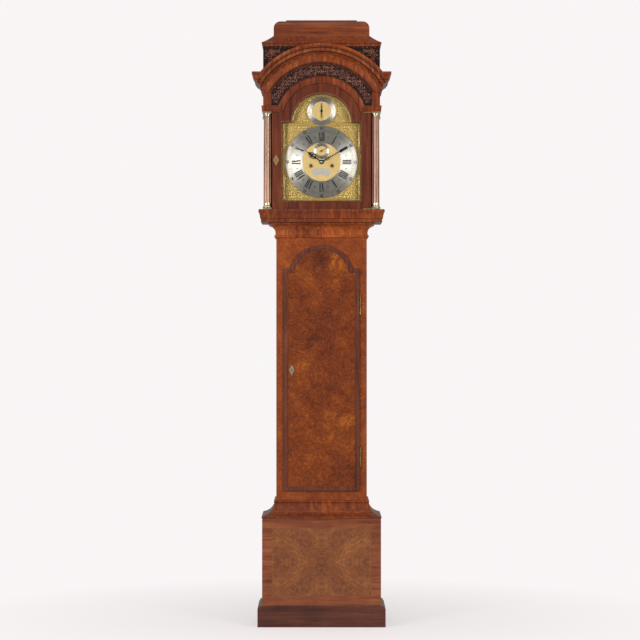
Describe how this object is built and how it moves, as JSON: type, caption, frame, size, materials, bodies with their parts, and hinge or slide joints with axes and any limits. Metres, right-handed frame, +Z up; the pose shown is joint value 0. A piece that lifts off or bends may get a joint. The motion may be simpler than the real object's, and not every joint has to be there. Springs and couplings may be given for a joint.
{
  "type": "longcase clock",
  "caption": "Walnut longcase clock with break-arch dial, arched hood on slender columns, tall trunk door, panelled base, pendulum, weights and movement.",
  "frame": {"origin": "on the floor, at the middle of the bounding box", "axes": "+Z up, the dial and doors face -Y, +X to the viewer's right"},
  "size_m": [0.538, 0.298, 2.356],
  "materials": {
    "walnut_veneer": "polished",
    "burr_walnut": "polished",
    "walnut_moulding": "polished",
    "dark_walnut": "polished",
    "column_walnut": "polished",
    "fret_wood": "satin",
    "oak": "matte",
    "gilt_brass": "gilt",
    "dial_brass": "matted",
    "silvered_brass": "silvered, satin",
    "blued_steel": "blued",
    "brass": "polished",
    "bell_metal": "turned",
    "steel": "polished",
    "glass": "clear",
    "gut": "natural"
  },
  "bodies": {
    "root": {"back_cock": "brass", "backboard": "oak", "base_front_panel": "burr_walnut", "base_moulding": "walnut_moulding", "base_side_panels": "walnut_veneer", "bell": "bell_metal", "chapter_ring": "silvered_brass", "dial_plate": "dial_brass", "dial_spandrels": "gilt_brass", "going_gut_line": "gut", "gut_line_tails": "gut", "movement_pillars": "brass", "movement_plates": "brass", "plinth_skirting": "dark_walnut", "seatboard": "oak", "silvered_rings_and_plaque": "silvered_brass", "strike_gut_line": "gut", "throat_moulding": "walnut_moulding", "trunk_front_frame": "walnut_veneer", "trunk_hinge_case_leaves": "brass", "trunk_sides": "walnut_veneer"},
    "trunk_door": {"trunk_door_board": "burr_walnut", "trunk_door_moulding": "walnut_moulding", "trunk_door_lock": "brass", "trunk_hinge_door_leaves": "brass"},
    "hood": {"hood_base_frame": "walnut_moulding", "hood_sides": "walnut_veneer", "hood_side_windows": "glass", "hood_mask_board": "walnut_veneer", "hood_frieze_and_roof": "walnut_veneer", "hood_architrave": "walnut_moulding", "hood_cornice": "walnut_moulding", "hood_frets": "fret_wood", "hood_columns": "column_walnut", "column_mounts": "gilt_brass", "caddy_flare": "walnut_moulding", "caddy_cushion_and_cap": "walnut_moulding"},
    "hood_door": {"hood_door_frame": "dark_walnut", "hood_door_glass": "glass", "hood_door_brasses": "brass"},
    "centre_arbor": {"centre_wheel": "brass", "minute_hand": "blued_steel"},
    "hour_pipe": {"hour_wheel": "brass", "hour_hand": "blued_steel"},
    "motion_work": {"minute_wheel": "brass"},
    "third_arbor": {"third_wheel": "brass"},
    "escape_arbor": {"escape_wheel": "brass", "seconds_hand": "blued_steel"},
    "great_wheel": {"going_great_wheel": "brass"},
    "going_barrel_body": {"going_barrel": "brass"},
    "strike_barrel_body": {"strike_barrel": "brass"},
    "strike_silent": {"strike_silent_hand": "blued_steel"},
    "pallets": {"pallet_anchor": "steel"},
    "pendulum": {"pendulum_rod": "steel", "pendulum_bob": "brass"},
    "going_weight_body": {"going_weight": "brass"},
    "strike_weight_body": {"strike_weight": "brass"},
    "going_pulley_body": {"going_pulley": "brass"},
    "strike_pulley_body": {"strike_pulley": "brass"},
    "hammer": {"bell_hammer": "steel"}
  },
  "joints": [
    {"name": "trunk_door_hinge", "type": "hinge", "parent": "root", "child": "trunk_door", "pos_m": [0.1515, -0.0605, 0.95], "axis": [0, 0, 1], "range_deg": [0, 110]},
    {"name": "hood_slide", "type": "slide", "parent": "root", "child": "hood", "axis": [0, -1, 0], "range_m": [0, 0.28]},
    {"name": "hood_door_hinge", "type": "hinge", "parent": "hood", "child": "hood_door", "pos_m": [0.1885, -0.103, 1.8], "axis": [0, 0, 1], "range_deg": [0, 95]},
    {"name": "centre_arbor_spin", "type": "hinge", "parent": "root", "child": "centre_arbor", "pos_m": [0, 0, 1.8], "axis": [0, 1, 0], "continuous": true},
    {"name": "hour_pipe_spin", "type": "hinge", "parent": "root", "child": "hour_pipe", "pos_m": [0, 0, 1.8], "axis": [0, 1, 0], "continuous": true},
    {"name": "motion_work_spin", "type": "hinge", "parent": "root", "child": "motion_work", "pos_m": [0, 0, 1.7712], "axis": [0, 1, 0], "continuous": true},
    {"name": "third_arbor_spin", "type": "hinge", "parent": "root", "child": "third_arbor", "pos_m": [-0.0135, 0, 1.82361], "axis": [0, 1, 0], "continuous": true},
    {"name": "escape_arbor_spin", "type": "hinge", "parent": "root", "child": "escape_arbor", "pos_m": [0, 0, 1.843], "axis": [0, 1, 0], "continuous": true},
    {"name": "great_wheel_spin", "type": "hinge", "parent": "root", "child": "great_wheel", "pos_m": [0.041, 0, 1.7855], "axis": [0, 1, 0], "continuous": true},
    {"name": "strike_silent_lever", "type": "hinge", "parent": "root", "child": "strike_silent", "pos_m": [0, -0.07, 1.998], "axis": [0, 1, 0], "range_deg": [-60, 60]},
    {"name": "pendulum_swing", "type": "hinge", "parent": "root", "child": "pendulum", "pos_m": [0, 0.057, 1.871], "axis": [0, 1, 0], "range_deg": [-3, 3]},
    {"name": "pallet_rock", "type": "hinge", "parent": "root", "child": "pallets", "pos_m": [0, 0, 1.871], "axis": [0, 1, 0], "range_deg": [-3, 3]},
    {"name": "hammer_lift", "type": "hinge", "parent": "root", "child": "hammer", "pos_m": [-0.058, 0, 1.89], "axis": [0, 1, 0], "range_deg": [-18, 8], "stiffness_Nm_per_rad": 0.05},
    {"name": "going_weight_travel", "type": "slide", "parent": "root", "child": "going_weight_body", "axis": [0, 0, 1], "range_m": [0, 1.2], "deforming": ["going_gut_line"]},
    {"name": "going_barrel_spin", "type": "hinge", "parent": "root", "child": "going_barrel_body", "pos_m": [0.041, 0, 1.7855], "axis": [0, 1, 0], "range_deg": [-5679, 0]},
    {"name": "going_pulley_spin", "type": "hinge", "parent": "going_weight_body", "child": "going_pulley_body", "pos_m": [0.088, 0, 0.412], "axis": [0, 1, 0], "range_deg": [0, 3145]},
    {"name": "strike_weight_travel", "type": "slide", "parent": "root", "child": "strike_weight_body", "axis": [0, 0, 1], "range_m": [0, 1.2], "deforming": ["strike_gut_line"]},
    {"name": "strike_barrel_spin", "type": "hinge", "parent": "root", "child": "strike_barrel_body", "pos_m": [-0.041, 0, 1.7855], "axis": [0, 1, 0], "range_deg": [0, 5679]},
    {"name": "strike_pulley_spin", "type": "hinge", "parent": "strike_weight_body", "child": "strike_pulley_body", "pos_m": [-0.088, 0, 0.412], "axis": [0, 1, 0], "range_deg": [-3145, 0]}
  ],
  "couplings": [
    {"joint": "hour_pipe_spin", "follows": "centre_arbor_spin", "ratio": 0.083333},
    {"joint": "motion_work_spin", "follows": "centre_arbor_spin", "ratio": -1},
    {"joint": "third_arbor_spin", "follows": "centre_arbor_spin", "ratio": -7.5},
    {"joint": "escape_arbor_spin", "follows": "centre_arbor_spin", "ratio": 60},
    {"joint": "great_wheel_spin", "follows": "centre_arbor_spin", "ratio": -0.083333},
    {"joint": "pallet_rock", "follows": "pendulum_swing", "ratio": 1},
    {"joint": "going_barrel_spin", "follows": "going_weight_travel", "rad_per_m": -82.305},
    {"joint": "going_pulley_spin", "follows": "going_weight_travel", "rad_per_m": 45.455},
    {"joint": "strike_barrel_spin", "follows": "strike_weight_travel", "rad_per_m": 82.305},
    {"joint": "strike_pulley_spin", "follows": "strike_weight_travel", "rad_per_m": -45.455}
  ]
}
